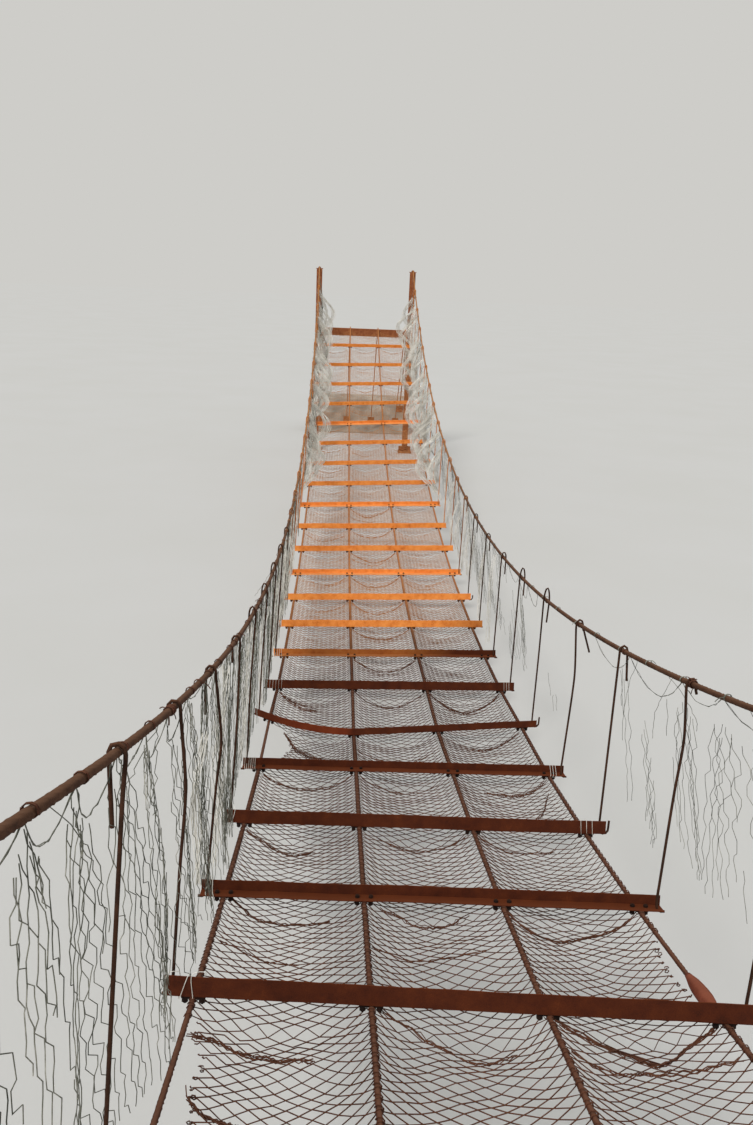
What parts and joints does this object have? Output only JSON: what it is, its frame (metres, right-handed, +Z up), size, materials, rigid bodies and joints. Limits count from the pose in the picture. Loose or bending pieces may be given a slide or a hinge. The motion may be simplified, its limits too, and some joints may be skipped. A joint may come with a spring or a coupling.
{
  "type": "wire rope suspension footbridge",
  "caption": "Narrow derelict suspension footbridge with rusted angle-iron crossbeams on deck ropes, hanger rods from two main cables, torn wire nets and end posts.",
  "frame": {"origin": "on the ground under mid-span, in the middle between the two main cables", "axes": "+Y along the walkway to the far end, +X to the right when looking along the walkway, +Z up"},
  "size_m": [2.5, 30.95, 3.9347],
  "materials": {
    "rusted_angle": "heavily rusted rolled steel, dark red-brown to orange",
    "rusted_wire_rope": "stranded steel rope, brown with rust",
    "rusted_wire_net": "chain-link wire, rusted through its zinc",
    "grey_wire_net": "thin galvanised wire netting, dull grey with rust spots",
    "rusted_post_steel": "rusted steel section with worn dark primer",
    "concrete": "cast concrete, weathered"
  },
  "bodies": {
    "root": {"crossbeam_01": "rusted_angle", "crossbeam_02": "rusted_angle", "crossbeam_03": "rusted_angle", "crossbeam_04": "rusted_angle", "crossbeam_05": "rusted_angle", "crossbeam_06": "rusted_angle", "crossbeam_07": "rusted_angle", "crossbeam_08": "rusted_angle", "crossbeam_09": "rusted_angle", "crossbeam_10": "rusted_angle", "crossbeam_11": "rusted_angle", "crossbeam_12": "rusted_angle", "crossbeam_13": "rusted_angle", "crossbeam_14": "rusted_angle", "crossbeam_15": "rusted_angle", "crossbeam_16": "rusted_angle", "crossbeam_17": "rusted_angle", "crossbeam_18": "rusted_angle", "crossbeam_19": "rusted_angle", "crossbeam_20": "rusted_angle", "crossbeam_21": "rusted_angle", "crossbeam_22": "rusted_angle", "crossbeam_23": "rusted_angle", "crossbeam_24": "rusted_angle", "deck_cable_left": "rusted_wire_rope", "deck_cable_inner_left": "rusted_wire_rope", "deck_cable_inner_right": "rusted_wire_rope", "deck_cable_right": "rusted_wire_rope", "left_main_cable": "rusted_wire_rope", "right_main_cable": "rusted_wire_rope", "deck_net_near_end": "rusted_wire_net", "deck_net_near_middle": "rusted_wire_net", "deck_net_far_middle": "rusted_wire_net", "deck_net_far_end": "rusted_wire_net", "side_net_left": "grey_wire_net", "side_net_right": "grey_wire_net", "near_left_post": "rusted_post_steel", "near_right_post": "rusted_post_steel", "far_left_post": "rusted_post_steel", "far_right_post": "rusted_post_steel", "near_sill_beam": "rusted_post_steel", "far_sill_beam": "rusted_post_steel", "near_anchor_block": "concrete", "far_anchor_block": "concrete"}
  },
  "joints": []
}
